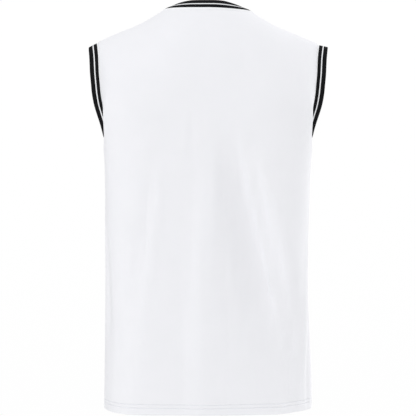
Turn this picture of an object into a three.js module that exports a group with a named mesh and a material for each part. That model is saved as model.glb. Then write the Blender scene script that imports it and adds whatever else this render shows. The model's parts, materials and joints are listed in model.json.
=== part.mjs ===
// A sleeveless basketball jersey, hollow and filled out as when it is worn.
// It has a front and a back panel, a V neck, and a striped rib band round the neck and each armhole.
// Millimetres, +Z up, and the front faces -Y. The origin is midway between the neck ends of the two
// shoulder seams, where the wearer's shoulders carry the jersey.
import * as THREE from "three";

// Driving dimensions
const HEM_Z = -723; // the hem, below the neck end of the shoulder seam
const NECK_HALF = 84; // half the width of the neck seam at the shoulders
const NECK_BACK_DIP = 5; // how far the neck seam dips at the centre of the back
const NECK_FRONT_DROP = 170; // from the shoulder seam down to the point of the V
const NECK_FRONT_BOW = 0.18; // how far the V's two sides bow outwards, as a share of the drop
const TIP_X = 200.5; // from the centre to the armhole seam, along the shoulder
const DROOP = 3.8; // how much lower the wearer's right shoulder hangs
const UNDERARM_Z = -257; // the lowest point of the armhole seam
const CLOTH = 1.5; // wall of the panels
const HEM_DEPTH = 20; // height of the turned hem
const HEM_CLOTH = 2.6; // wall of the hem, which is folded double
const HEM_STEP = 1.6; // height over which the wall thins above the hem's inner edge
const BAND_WIDTH = 18; // rib band, from its seam to the edge of the opening
const BAND_CLOTH = 2; // wall of the rib band
const BAND_PROUD = 0.25; // how far the rib band stands out from the panels
const BAND_BEND = 0.34; // share of its width over which the rib band still lies along the panel
const SEAM_GAP = 0.3; // space between two pieces at a seam
// How high the neck band stands above its seam, at the centre of the back and at the shoulders. It is level
// over a share of the way round between them.
const NECK_STAND = { back: 17, side: 6.5, level: 0.15 };

// How far the shoulder line has fallen, going out from the neck.
const SHOULDER = [
  { out: 0, fall: 0 },
  { out: 25, fall: 15.6 },
  { out: 50, fall: 28 },
  { out: 75, fall: 38 },
  { out: 100, fall: 48.3 },
  { out: 130, fall: 62 },
];
const NECK_SLOPE = 0.6; // of the shoulder line where it reaches the neck

// How the front and the back differ: side is the sign of y, dome is the height of the curve over the
// shoulder, scye is how far the armhole seam reaches from the shoulder line, and neck is the number of
// mesh columns, counted from the centre, that end on the neck seam.
const BACK = { name: "back", side: 1, dome: 160, scye: 55, neck: 8 };
const FRONT = { name: "front", side: -1, dome: 190, scye: 51, neck: 11 };

// Torso sections from the hem up: half the width, and the depth to the back and to the front. The depth
// is (1 - share ** corner) ** pinch of that at a share of the half width: a greater corner makes the
// section squarer, and a greater pinch flattens it towards the side seam.
const SECTIONS = [
  { z: -723, half: 190, back: 110, front: 107, corner: 7, pinch: 0.71 },
  { z: -600, half: 188, back: 109, front: 107, corner: 6.2, pinch: 0.58 },
  { z: -470, half: 187, back: 109, front: 109, corner: 5.2, pinch: 0.45 },
  { z: -350, half: 187.5, back: 111, front: 113, corner: 4.4, pinch: 0.34 },
  { z: -293, half: 187.5, back: 114, front: 116, corner: 4, pinch: 0.29 },
  { z: -240, half: 191, back: 117, front: 117, corner: 3.8, pinch: 0.263 },
  { z: -184, half: 202, back: 120, front: 118, corner: 3.8, pinch: 0.263 },
  { z: -130, half: 201.5, back: 120, front: 118, corner: 3.8, pinch: 0.263 },
  { z: -85, half: 202.5, back: 118, front: 117, corner: 3.8, pinch: 0.263 },
  { z: -50, half: 207, back: 116, front: 115, corner: 3.8, pinch: 0.263 },
  { z: 25, half: 214, back: 114, front: 113, corner: 3.8, pinch: 0.263 },
];

// How far the elastic band draws the armhole seam in towards the body, by the height of the seam.
const SEAM_PULL = [
  { z: -380, pull: 0 },
  { z: -300, pull: 4 },
  { z: -257, pull: 11 },
  { z: -222, pull: 16 },
  { z: -190, pull: 14.5 },
  { z: -160, pull: 8 },
  { z: -120, pull: 2 },
  { z: -85, pull: 0 },
  { z: -50, pull: 0 },
];
const PULL_REACH = 0.1; // share of the half panel over which that pull dies away

// Which way the armhole band points, from the underarm (way 0) to the shoulder (way 1): its rise above
// level on the wearer's left and right, and its lean towards the middle of the opening, in degrees.
const BAND_WAYS = [
  { way: 0, left: 66, right: 66, lean: 0 },
  { way: 0.12, left: 50, right: 50, lean: 14 },
  { way: 0.25, left: 26, right: 26, lean: 20 },
  { way: 0.4, left: 11, right: 11, lean: 20 },
  { way: 0.55, left: 7, right: 7, lean: 20 },
  { way: 0.7, left: 0, right: 2, lean: 18 },
  { way: 0.85, left: -9, right: -2, lean: 10 },
  { way: 1, left: -31, right: -14, lean: 0 },
];

// The largest folds: each runs from (topX, topZ) to (footX, footZ), bowed sideways in the middle by bow. It
// bulges by rise, or sinks by -rise, and is wide across at its foot. A foot lies below the hem, so that the
// fold runs out softly over the hem's edge.
const FOLDS = [
  { on: "back", topX: -40, topZ: -190, footX: -226, footZ: -860, bow: 23, rise: -12, wide: 165 },
  { on: "back", topX: -58, topZ: -200, footX: -191, footZ: -760, bow: 16, rise: 2.5, wide: 40 },
  { on: "back", topX: 90, topZ: -235, footX: 179, footZ: -840, bow: -7, rise: -2.5, wide: 68 },
  { on: "back", topX: 77, topZ: -240, footX: 154, footZ: -760, bow: -5, rise: 1.2, wide: 40 },
  { on: "back", topX: 14, topZ: -320, footX: 16, footZ: -900, bow: 0, rise: 4, wide: 84 },
  { on: "front", topX: 62, topZ: -215, footX: 175, footZ: -860, bow: -18, rise: -9, wide: 134 },
  { on: "front", topX: -70, topZ: -225, footX: -174, footZ: -840, bow: 15, rise: -6.5, wide: 100 },
  { on: "front", topX: 8, topZ: -240, footX: -20, footZ: -880, bow: 6, rise: 4, wide: 88 },
];
const FOLD_TOP = 0.5; // width of a fold at its top, as a share of that at its foot
const FOLD_GROWTH = 0.28; // share of its length over which a fold grows to its full rise
const FOLD_FADE = 0.6; // share of its length at which a fold starts to fade
const FOLD_EDGE = 6; // power by which the folds flatten towards the edge of a panel
// The cloth sinks in a little at the waist on the wearer's right.
const WAIST = { z: -455, tall: 220, x: -7 };

// Mesh sizes
const COLUMNS = 18; // from the centre of a panel to its edge
const ROWS_BELOW = 14; // from the hem to the underarm
const ROWS_ABOVE = 16; // from the underarm to the shoulder
const ROW_CROWDING = 1.8; // how the rows crowd together towards the shoulder
const BAND_STEPS = [0, 0.25, 0.5, 0.75, 1]; // points across a band's width
const SECTION_STEPS = 200; // equal steps along a quarter of a torso section
const FINE_STEPS = 2000; // points on a curve that is then parted into equal lengths
const HALVINGS = 30; // halvings of the space in which an edge is searched for
const NEARBY = 0.02; // of a column or a row, over which directions are measured

const WHITE_JERSEY = new THREE.MeshStandardMaterial({ color: 0xf2f3f6, roughness: 0.75, metalness: 0 });
const BLACK_RIB = new THREE.MeshStandardMaterial({ color: 0x17181a, roughness: 0.85, metalness: 0 });

const up = new THREE.Vector3(0, 0, 1);
const radians = THREE.MathUtils.degToRad;
const clamp = THREE.MathUtils.clamp;
const lerp = THREE.MathUtils.lerp;
const smooth = THREE.MathUtils.smoothstep;

// Reads a named column of a table at a place between its rows, along a smooth curve.
function read(table, key, at, column) {
  const last = table.length - 1;
  const spot = clamp(at, table[0][key], table[last][key]);
  const row = clamp(table.findIndex((r) => r[key] > spot) - 1, 0, last - 1);
  const i = spot >= table[last][key] ? last - 1 : row;
  const slope = (n) => {
    const low = table[Math.max(n - 1, 0)];
    const high = table[Math.min(n + 1, last)];
    return (high[column] - low[column]) / (high[key] - low[key]);
  };
  const span = table[i + 1][key] - table[i][key];
  const t = (spot - table[i][key]) / span;
  const a = table[i][column];
  const b = table[i + 1][column];
  const [t2, t3] = [t * t, t * t * t];
  return (
    a * (2 * t3 - 3 * t2 + 1) +
    b * (3 * t2 - 2 * t3) +
    span * (slope(i) * (t3 - 2 * t2 + t) + slope(i + 1) * (t3 - t2))
  );
}

// The share of a section's depth that is left at a share of its half width.
function across(share, z) {
  const corner = read(SECTIONS, "z", z, "corner");
  return (1 - clamp(share, 0, 1) ** corner) ** read(SECTIONS, "z", z, "pinch");
}

// Equal steps along a quarter of a torso section, from its centre to its side, as shares of its width.
const sectionShares = (() => {
  const { half, back, z } = SECTIONS[3];
  const points = [];
  for (let i = 0; i <= FINE_STEPS; i++) {
    const share = Math.sqrt(Math.sin(((i / FINE_STEPS) * Math.PI) / 2));
    points.push(new THREE.Vector2(share * half, across(share, z) * back));
  }
  return resample(points, SECTION_STEPS).map((p) => clamp(p.x / half, 0, 1));
})();

// Points at equal steps along a line of points.
function resample(points, steps) {
  const lengths = [0];
  for (let i = 1; i < points.length; i++) {
    lengths.push(lengths[i - 1] + points[i].distanceTo(points[i - 1]));
  }
  const total = lengths[lengths.length - 1];
  const out = [];
  let i = 0;
  for (let n = 0; n <= steps; n++) {
    const at = (total * n) / steps;
    while (i < points.length - 2 && lengths[i + 1] < at) i++;
    const t = clamp((at - lengths[i]) / (lengths[i + 1] - lengths[i] || 1), 0, 1);
    out.push(points[i].clone().lerp(points[i + 1], t));
  }
  return out;
}

// The share of the half width at a fraction of the way round from the centre to the side, and back.
function widthShare(fraction) {
  const at = clamp(fraction, 0, 1) * SECTION_STEPS;
  const i = Math.min(Math.floor(at), SECTION_STEPS - 1);
  return lerp(sectionShares[i], sectionShares[i + 1], at - i);
}
function fractionOf(share) {
  const i = clamp(sectionShares.findIndex((s) => s > share) - 1, 0, SECTION_STEPS - 1);
  if (share >= 1) return 1;
  return (i + (share - sectionShares[i]) / (sectionShares[i + 1] - sectionShares[i])) / SECTION_STEPS;
}

// Height of the shoulder line at x. It goes on across the neck, where no cloth reaches it.
function ridgeZ(x) {
  const out = Math.abs(x) - NECK_HALF;
  if (out >= 0) return -read(SHOULDER, "out", out, "fall");
  return 0.5 * NECK_SLOPE * NECK_HALF * (1 - (x / NECK_HALF) ** 2);
}

// How deep the cloth lies at (x, z), as a share of the section's depth: it falls to 0 on the shoulder line.
function domeShare(panel, x, z) {
  const below = clamp((ridgeZ(x) - z) / panel.dome, 0, 1);
  return Math.sqrt(1 - (1 - below) ** 2);
}

// A point of the torso's form: fraction is the way round from the centre line to the side.
function formPoint(panel, fraction, z) {
  const share = widthShare(fraction);
  const x = read(SECTIONS, "z", z, "half") * share;
  const depth = read(SECTIONS, "z", z, panel.name) * across(share, z);
  return new THREE.Vector3(x, panel.side * depth * domeShare(panel, x, z), z);
}

// The armhole seam from the underarm (way 0) to the shoulder (way 1), as a fraction round and a height.
function armholeSeam(panel, way) {
  const tipZ = ridgeZ(TIP_X);
  const angle = (way - 0.5) * Math.PI;
  const z = (tipZ + UNDERARM_Z) / 2 + ((tipZ - UNDERARM_Z) / 2) * Math.sin(angle);
  const half = read(SECTIONS, "z", z, "half");
  const depth = read(SECTIONS, "z", z, panel.name);
  const reach = panel.scye * Math.cos(angle);
  // The form's depth falls as x grows, so x is closed in on from both sides.
  let [low, high] = [0, half];
  for (let i = 0; i < HALVINGS; i++) {
    const x = (low + high) / 2;
    if (depth * across(x / half, z) * domeShare(panel, x, z) > reach) low = x;
    else high = x;
  }
  return { fraction: fractionOf(way < 1 ? low / half : TIP_X / half), z };
}

// The neck seam from the centre (way 0) to the shoulder (way 1).
function neckPlan(panel, way) {
  const x = NECK_HALF * (panel === FRONT ? way : Math.sin((way * Math.PI) / 2));
  let z = -NECK_BACK_DIP * (1 - (x / NECK_HALF) ** 2);
  if (panel === FRONT) z = -NECK_FRONT_DROP * (1 - way) * (1 + NECK_FRONT_BOW * way);
  return { fraction: fractionOf(x / read(SECTIONS, "z", z, "half")), z };
}

// The place in a list of points of the one that is nearest to a point.
function nearest(points, to) {
  let best = 0;
  points.forEach((point, i) => {
    if (point.distanceTo(to) < points[best].distanceTo(to)) best = i;
  });
  return best;
}

// The ways that part the neck seam into equal lengths, one for each column.
function evenWays(panel) {
  const points = [];
  for (let i = 0; i <= FINE_STEPS; i++) {
    const { fraction, z } = neckPlan(panel, i / FINE_STEPS);
    points.push(formPoint(panel, fraction, z));
  }
  return resample(points, panel.neck).map((p) => nearest(points, p) / FINE_STEPS);
}
const NECK_WAYS = { back: evenWays(BACK), front: evenWays(FRONT) };

// The top edge of half a panel: the neck seam, and then the shoulder seam.
function topEdge(panel, column) {
  if (column <= panel.neck) {
    const ways = NECK_WAYS[panel.name];
    const low = Math.min(Math.floor(column), panel.neck - 1);
    return neckPlan(panel, lerp(ways[low], ways[low + 1], column - low));
  }
  const x = lerp(NECK_HALF, TIP_X, (column - panel.neck) / (COLUMNS - panel.neck));
  const z = ridgeZ(x);
  return { fraction: fractionOf(x / read(SECTIONS, "z", z, "half")), z };
}

// Heights of the rows as shares of the way up, with a row at each side of the hem's inner edge.
const rowShares = (() => {
  const rows = ROWS_BELOW + ROWS_ABOVE;
  const shares = [];
  for (let j = 0; j <= rows; j++) shares.push(1 - (1 - j / rows) ** ROW_CROWDING);
  const tall = UNDERARM_Z - HEM_Z;
  const scale = shares[ROWS_BELOW] / tall;
  shares.splice(1, 0, scale * HEM_DEPTH, scale * (HEM_DEPTH + HEM_STEP));
  return shares;
})();
const UNDERARM_ROW = ROWS_BELOW + 2;
const TOP_ROW = rowShares.length - 1;
function rowShare(row) {
  const low = Math.min(Math.floor(row), TOP_ROW - 1);
  return lerp(rowShares[low], rowShares[low + 1], row - low);
}

// The side edge of half a panel: the side seam, and then the armhole seam.
function sideEdge(panel, row) {
  if (row <= UNDERARM_ROW) {
    const z = lerp(HEM_Z, UNDERARM_Z, rowShare(row) / rowShares[UNDERARM_ROW]);
    return { fraction: 1, z };
  }
  return armholeSeam(panel, (row - UNDERARM_ROW) / (TOP_ROW - UNDERARM_ROW));
}

// How far the folds move the cloth outwards at a point.
function foldRise(panel, x, z) {
  let sum = 0;
  for (const fold of FOLDS.filter((f) => f.on === panel.name)) {
    const down = (fold.topZ - z) / (fold.topZ - fold.footZ);
    if (down <= 0 || down >= 1) continue;
    const middle = lerp(fold.topX, fold.footX, down) + fold.bow * 4 * down * (1 - down);
    const reach = (fold.wide * lerp(FOLD_TOP, 1, down)) / 2;
    const near = Math.max(0, 1 - ((x - middle) / reach) ** 2);
    sum += fold.rise * near ** 2 * smooth(down, 0, FOLD_GROWTH) * (1 - smooth(down, FOLD_FADE, 1));
  }
  return sum;
}

// A point of a panel, with its folds, the pull of the armhole band and the hollow at the waist. Columns
// count from the centre, and are negative on the wearer's right.
function clothPoint(panel, column, row) {
  const sign = column < 0 ? -1 : 1;
  const u = Math.abs(column) / COLUMNS;
  const v = rowShare(row);
  const [top, side] = [topEdge(panel, Math.abs(column)), sideEdge(panel, row)];
  const [neck, tip] = [topEdge(panel, 0), topEdge(panel, COLUMNS)];
  const blend = (bottom, key, corner) =>
    (1 - v) * bottom +
    v * top[key] +
    (1 - u) * lerp(corner, neck[key], v) +
    u * side[key] -
    (1 - v) * lerp(corner, key === "z" ? HEM_Z : 1, u) -
    v * lerp(neck[key], tip[key], u);
  const point = formPoint(panel, blend(u, "fraction", 0), blend(HEM_Z, "z", HEM_Z));
  point.x *= sign;
  point.y += panel.side * (foldRise(panel, point.x, point.z) * (1 - u ** FOLD_EDGE));
  const near = smooth(1 - (1 - u) / PULL_REACH, 0, 1);
  point.x -= sign * near * read(SEAM_PULL, "z", side.z, "pull");
  if (sign < 0) {
    const off = (point.z - WAIST.z) / WAIST.tall;
    point.x -= WAIST.x * Math.max(0, 1 - off * off) ** 2 * u ** 2;
  }
  const raised = smooth(point.z, UNDERARM_Z, ridgeZ(TIP_X));
  point.z -= DROOP * smooth(-point.x, 0, NECK_HALF) * raised;
  point.y += (panel.side * SEAM_GAP) / 2;
  return point;
}

// The outward direction at a point of a panel. Where the two panels meet, it lies in the seam's plane,
// and at the side seam the cloth runs square to that plane.
function clothNormal(panel, column, row) {
  const out = Math.abs(column);
  const onSide = out === COLUMNS && row <= UNDERARM_ROW;
  const onShoulder = row === TOP_ROW && out >= panel.neck;
  const [firstColumn, lastRow] = [onShoulder ? panel.neck : -COLUMNS, onSide ? UNDERARM_ROW : TOP_ROW];
  const columns = [Math.max(out - NEARBY, firstColumn), Math.min(out + NEARBY, COLUMNS)];
  const rows = [Math.max(row - NEARBY, 0), Math.min(row + NEARBY, lastRow)];
  const sign = column < 0 ? -1 : 1;
  const at = (c, r) => clothPoint(panel, c * sign, r);
  const squareToSeam = new THREE.Vector3(0, -panel.side, 0);
  const outwards = onSide ? squareToSeam : at(columns[1], row).sub(at(columns[0], row));
  const upwards = at(column * sign, rows[1]).sub(at(column * sign, rows[0]));
  const normal = upwards.cross(outwards).multiplyScalar(panel.side * sign);
  if (onSide || onShoulder) normal.y = 0;
  return normal.normalize();
}

// A panel's outer points and outward directions, row by row, from the wearer's right to the left.
function clothGrid(panel) {
  const [grid, normals] = [[], []];
  for (let row = 0; row <= TOP_ROW; row++) {
    grid.push([]);
    normals.push([]);
    for (let column = -COLUMNS; column <= COLUMNS; column++) {
      grid[row].push(clothPoint(panel, column, row));
      normals[row].push(clothNormal(panel, column, row));
    }
  }
  return { grid, normals };
}

// Collects the triangles of a solid.
class Solid {
  constructor() {
    this.corners = [];
  }
  triangle(a, b, c) {
    for (const p of [a, b, c]) this.corners.push(p.x, p.y, p.z);
  }
  quad(a, b, c, d) {
    this.triangle(a, b, c);
    this.triangle(a, c, d);
  }
  mesh(name, material) {
    const geometry = new THREE.BufferGeometry();
    geometry.setAttribute("position", new THREE.Float32BufferAttribute(this.corners, 3));
    geometry.computeVertexNormals();
    const mesh = new THREE.Mesh(geometry, material);
    mesh.name = name;
    return mesh;
  }
}

// A panel as a closed wall: its outer and inner faces, and the four cut edges between them.
function panelMesh(panel, { grid, normals }, name) {
  const hemRow = 1;
  const inner = grid.map((line, row) =>
    line.map((point, i) => {
      const wall = row <= hemRow ? HEM_CLOTH : CLOTH;
      return point.clone().addScaledVector(normals[row][i], -wall);
    }),
  );
  const solid = new Solid();
  const quad = (a, b, c, d) => (panel.side > 0 ? solid.quad(a, b, c, d) : solid.quad(d, c, b, a));
  for (let row = 0; row < TOP_ROW; row++) {
    for (let i = 0; i < 2 * COLUMNS; i++) {
      quad(grid[row][i], grid[row + 1][i], grid[row + 1][i + 1], grid[row][i + 1]);
      quad(inner[row][i], inner[row][i + 1], inner[row + 1][i + 1], inner[row + 1][i]);
    }
    const end = 2 * COLUMNS;
    quad(grid[row][0], inner[row][0], inner[row + 1][0], grid[row + 1][0]);
    quad(grid[row][end], grid[row + 1][end], inner[row + 1][end], inner[row][end]);
  }
  for (let i = 0; i < 2 * COLUMNS; i++) {
    quad(grid[0][i], grid[0][i + 1], inner[0][i + 1], inner[0][i]);
    quad(grid[TOP_ROW][i], inner[TOP_ROW][i], inner[TOP_ROW][i + 1], grid[TOP_ROW][i + 1]);
  }
  return solid.mesh(name, WHITE_JERSEY);
}

// A place on a seam: the point on the panel's edge and the panel's normal there.
function seamPlace(cloth, row, i) {
  return { seam: cloth.grid[row][i].clone(), normal: cloth.normals[row][i].clone() };
}
function between(a, b) {
  return {
    seam: a.seam.clone().add(b.seam).multiplyScalar(0.5),
    normal: a.normal.clone().add(b.normal).normalize(),
  };
}

// The way out of the panel, square to its edge. A ring of places runs so that the opening is on its left.
function wayOut(normal, from, to) {
  return to.clone().sub(from).cross(normal).normalize();
}

// The seam round one armhole, and the edge of its band.
function armholePlaces(back, front, sign) {
  const edge = sign > 0 ? 2 * COLUMNS : 0;
  const rows = [];
  for (let row = UNDERARM_ROW; row <= TOP_ROW; row++) rows.push(row);
  const up = rows.map((row) => seamPlace(back, row, edge));
  const down = rows.map((row) => seamPlace(front, row, edge));
  const steps = rows.length - 1;
  const places = [between(up[0], down[0])];
  for (let n = 1; n < steps; n++) places.push(up[n]);
  places.push(between(up[steps], down[steps]));
  for (let n = steps - 1; n > 0; n--) places.push(down[n]);
  places.forEach((place, n) => {
    const way = n <= steps ? n / steps : (2 * steps - n) / steps;
    const side = n <= steps ? 1 : -1;
    const rise = radians(read(BAND_WAYS, "way", way, sign > 0 ? "left" : "right"));
    const lean = radians(read(BAND_WAYS, "way", way, "lean"));
    const level = Math.cos(rise);
    place.edge = new THREE.Vector3(
      sign * level * Math.cos(lean),
      -side * level * Math.sin(lean),
      Math.sin(rise),
    );
    place.edge.multiplyScalar(BAND_WIDTH).add(place.seam);
  });
  return sign > 0 ? places.reverse() : places;
}

// The seam round the neck, from the wearer's right along the back and back along the front.
function neckPlaces(back, front) {
  const [behind, before] = [[], []];
  for (let i = -BACK.neck; i <= BACK.neck; i++) behind.push(seamPlace(back, TOP_ROW, COLUMNS + i));
  for (let i = FRONT.neck; i >= -FRONT.neck; i--) before.push(seamPlace(front, TOP_ROW, COLUMNS + i));
  const last = 2 * BACK.neck;
  const places = [between(behind[0], before[2 * FRONT.neck])];
  places.push(...behind.slice(1, -1));
  places.push(between(behind[last], before[0]));
  places.push(...before.slice(1, -1));
  const count = places.length;
  // At the back the band stands up, and it leans over until it lies on the slope of the shoulder.
  for (let n = 0; n <= last; n++) {
    const place = places[n];
    const inward = wayOut(up, places[(n + count - 1) % count].seam, places[(n + 1) % count].seam);
    const round = Math.abs(n / last - 0.5) * 2;
    const height = lerp(NECK_STAND.back, NECK_STAND.side, smooth(round, NECK_STAND.level, 1));
    const reach = Math.sqrt(BAND_WIDTH ** 2 - height ** 2);
    place.edge = place.seam.clone().addScaledVector(inward, reach).addScaledVector(up, height);
  }
  // On the front it lies in the panel's surface, and its two sides meet in a mitre at the V's point.
  const apex = last + FRONT.neck;
  for (const side of [1, -1]) {
    const run = [];
    for (let n = side > 0 ? last : count; n !== apex; n += side) run.push(places[n % count]);
    run.push(places[apex]);
    const edges = run.map((place, n) => {
      if (n === 0) return place.edge.clone();
      const next = n < run.length - 1 ? run[n + 1] : place;
      const ends = [run[n - 1].seam, next.seam];
      if (side < 0) ends.reverse();
      return place.seam.clone().addScaledVector(wayOut(place.normal, ...ends), BAND_WIDTH);
    });
    const crossing = edges.findIndex((p) => side * p.x <= 0);
    const [low, high] = [edges[crossing - 1], edges[crossing]];
    const meet = low.clone().lerp(high, low.x / (low.x - high.x));
    meet.x = 0;
    const line = resample([...edges.slice(0, crossing), meet], run.length - 1);
    run.forEach((place, n) => {
      if (n > 0) place.edge = line[n];
    });
  }
  places[apex].normal.setX(0).normalize();
  return places;
}

// A rib band as a closed ring. Across its width it leaves the seam along the panel and bends to its edge.
// Its face at the seam is split into triangles the same way as the panel's cut edge beside it.
function bandMesh(places, name, reversed = false) {
  const count = places.length;
  const lines = places.map(({ seam, edge, normal }, n) => {
    const [before, after] = [places[(n + count - 1) % count], places[(n + 1) % count]];
    const away = wayOut(normal, before.seam, after.seam);
    const start = seam.clone().addScaledVector(away, SEAM_GAP);
    const bend = seam.clone().addScaledVector(away, BAND_WIDTH * BAND_BEND);
    const curve = new THREE.QuadraticBezierCurve3(start, bend, edge);
    return BAND_STEPS.map((t) => curve.getPoint(t));
  });
  const rings = lines.map((line, n) => {
    const [before, after] = [lines[(n + count - 1) % count], lines[(n + 1) % count]];
    const outer = [];
    const inner = [];
    line.forEach((point, k) => {
      const along = after[k].clone().sub(before[k]);
      const wide = line[Math.min(k + 1, line.length - 1)].clone().sub(line[Math.max(k - 1, 0)]);
      const normal = k === 0 ? places[n].normal : wide.cross(along).normalize();
      outer.push(point.clone().addScaledVector(normal, BAND_PROUD));
      inner.push(point.clone().addScaledVector(normal, BAND_PROUD - BAND_CLOTH));
    });
    return [...outer, ...inner.reverse()];
  });
  const solid = new Solid();
  rings.forEach((ring, n) => {
    const next = rings[(n + 1) % count];
    ring.forEach((point, k) => {
      const beyond = (k + 1) % ring.length;
      const corners = [point, ring[beyond], next[beyond], next[k]];
      if (beyond === 0 && !reversed) corners.push(corners.shift());
      solid.quad(...corners);
    });
  });
  return solid.mesh(name, BLACK_RIB);
}

// The jersey
const [backCloth, frontCloth] = [BACK, FRONT].map(clothGrid);

const jersey = new THREE.Group();
jersey.name = "jersey";
jersey.add(
  panelMesh(BACK, backCloth, "back_panel"),
  panelMesh(FRONT, frontCloth, "front_panel"),
  bandMesh(neckPlaces(backCloth, frontCloth), "neck_band"),
  bandMesh(armholePlaces(backCloth, frontCloth, 1), "armhole_band_left", true),
  bandMesh(armholePlaces(backCloth, frontCloth, -1), "armhole_band_right"),
);

export default jersey;
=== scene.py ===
"""A white sleeveless basketball jersey with striped rib bands, hollow and filled out as when it is worn.

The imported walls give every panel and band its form. Each is read as a net of points, and a thin cloth with
its creases, seams, hem, ribs and stitches is laid on that net. Lengths are in millimetres until a mesh is made.
"""

from __future__ import annotations

import json
import logging
import math
from collections.abc import Callable
from dataclasses import dataclass
from enum import Enum

import bmesh
import bpy
import numpy as np
from mathutils import Matrix, Vector, noise

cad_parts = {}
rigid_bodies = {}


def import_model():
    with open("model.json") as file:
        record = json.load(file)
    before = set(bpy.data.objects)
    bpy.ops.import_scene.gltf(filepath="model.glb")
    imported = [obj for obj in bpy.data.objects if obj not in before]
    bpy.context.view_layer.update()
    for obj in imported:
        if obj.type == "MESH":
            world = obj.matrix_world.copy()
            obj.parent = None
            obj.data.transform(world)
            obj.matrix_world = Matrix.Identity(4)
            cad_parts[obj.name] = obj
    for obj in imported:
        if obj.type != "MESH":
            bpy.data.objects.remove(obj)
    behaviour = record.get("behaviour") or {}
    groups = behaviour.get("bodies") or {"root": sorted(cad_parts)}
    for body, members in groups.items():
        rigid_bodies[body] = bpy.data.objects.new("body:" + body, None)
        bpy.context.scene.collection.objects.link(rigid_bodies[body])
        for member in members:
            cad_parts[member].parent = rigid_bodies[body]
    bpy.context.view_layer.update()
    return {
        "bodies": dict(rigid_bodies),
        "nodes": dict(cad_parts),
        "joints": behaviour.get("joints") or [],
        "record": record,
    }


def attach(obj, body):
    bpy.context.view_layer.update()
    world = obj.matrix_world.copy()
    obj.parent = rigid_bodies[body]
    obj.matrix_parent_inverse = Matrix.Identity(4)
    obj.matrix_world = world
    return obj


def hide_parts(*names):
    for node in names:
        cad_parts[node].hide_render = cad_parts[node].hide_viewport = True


log = logging.getLogger("jersey")

METRES = 0.001
TINY = 1e-9
BODY = "root"
CUT = (540.0, 745.0)


def linear(colour: str) -> tuple[float, float, float, float]:
    """Turns an sRGB hex colour into the linear colour that shaders take.

    Args:
        colour: The colour as six hex digits after a hash sign.

    Returns:
        Red, green, blue and an alpha of 1.
    """
    parts = [int(colour[i : i + 2], 16) / 255 for i in (1, 3, 5)]
    red, green, blue = [p / 12.92 if p <= 0.04045 else ((p + 0.055) / 1.055) ** 2.4 for p in parts]
    return red, green, blue, 1.0


def smooth(x: np.ndarray | float, low: float, high: float) -> np.ndarray | float:
    """Rises softly from 0 at low to 1 at high."""
    t = np.clip((x - low) / max(high - low, TINY), 0, 1)
    return t * t * (3 - 2 * t)


def add_node(
    tree: bpy.types.NodeTree,
    kind: str,
    settings: dict | None = None,
    links: dict | None = None,
) -> bpy.types.Node:
    """Adds a node to a tree, with its settings and links.

    Args:
        tree: The node tree.
        kind: The node's type.
        settings: Values, by the name of a property or by the name or number of an input socket.
        links: Output sockets, by the name or number of the input socket that each feeds.

    Returns:
        The new node.
    """
    node = tree.nodes.new(kind)
    for key, value in (settings or {}).items():
        if isinstance(key, str) and hasattr(node, key):
            setattr(node, key, value)
        else:
            node.inputs[key].default_value = value
    for key, source in (links or {}).items():
        tree.links.new(source, node.inputs[key])
    return node


def new_material(name: str) -> tuple[bpy.types.Material, bpy.types.NodeTree]:
    """Makes a material with an empty node tree, and gives both."""
    material = bpy.data.materials.new(name)
    material.use_nodes = True
    material.node_tree.nodes.clear()
    return material, material.node_tree


def ridges(tree: bpy.types.NodeTree, source: bpy.types.NodeSocket, pitch: float) -> bpy.types.NodeSocket:
    """Adds the height of a row of round ridges.

    Args:
        tree: The node tree.
        source: The length across the ridges, in metres.
        pitch: The width of a ridge in millimetres.

    Returns:
        The socket with the height, from 0 to 1.
    """
    turn = math.pi / (pitch * METRES)
    phase = add_node(tree, "ShaderNodeMath", {"operation": "MULTIPLY", 1: turn}, {0: source})
    wave = add_node(tree, "ShaderNodeMath", {"operation": "SINE"}, {0: phase.outputs[0]})
    return add_node(tree, "ShaderNodeMath", {"operation": "ABSOLUTE"}, {0: wave.outputs[0]}).outputs[0]


class Side(Enum):
    """A side of the jersey that a crease lies on, by the letter of its axis and its sign."""

    BACK = ("y", 1)
    FRONT = ("y", -1)
    LEFT = ("x", 1)
    RIGHT = ("x", -1)


class Thread(Enum):
    """The hem's threads, by the width and the depth of a stitch in millimetres."""

    NEEDLE = (0.42, 0.36)
    LOOPER = (0.3, 0.3)


def slope_weights(knots: np.ndarray, at: int, low: int, high: int) -> np.ndarray:
    """Finds the weights that give a curve's slope at a knot, from the parabola through three knots.

    Args:
        knots: The places of the curve's points.
        at: The knot's number.
        low: The first knot of the smooth stretch.
        high: The last knot of that stretch.

    Returns:
        One weight for each knot.
    """
    weights = np.zeros(len(knots))
    if high - low < 2:
        step = knots[high] - knots[low]
        weights[low], weights[high] = -1 / step, 1 / step
        return weights
    first = min(max(at - 1, low), high - 2)
    for a in range(first, first + 3):
        b, c = [n for n in range(first, first + 3) if n != a]
        top = (knots[at] - knots[b]) + (knots[at] - knots[c])
        weights[a] = top / ((knots[a] - knots[b]) * (knots[a] - knots[c]))
    return weights


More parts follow.
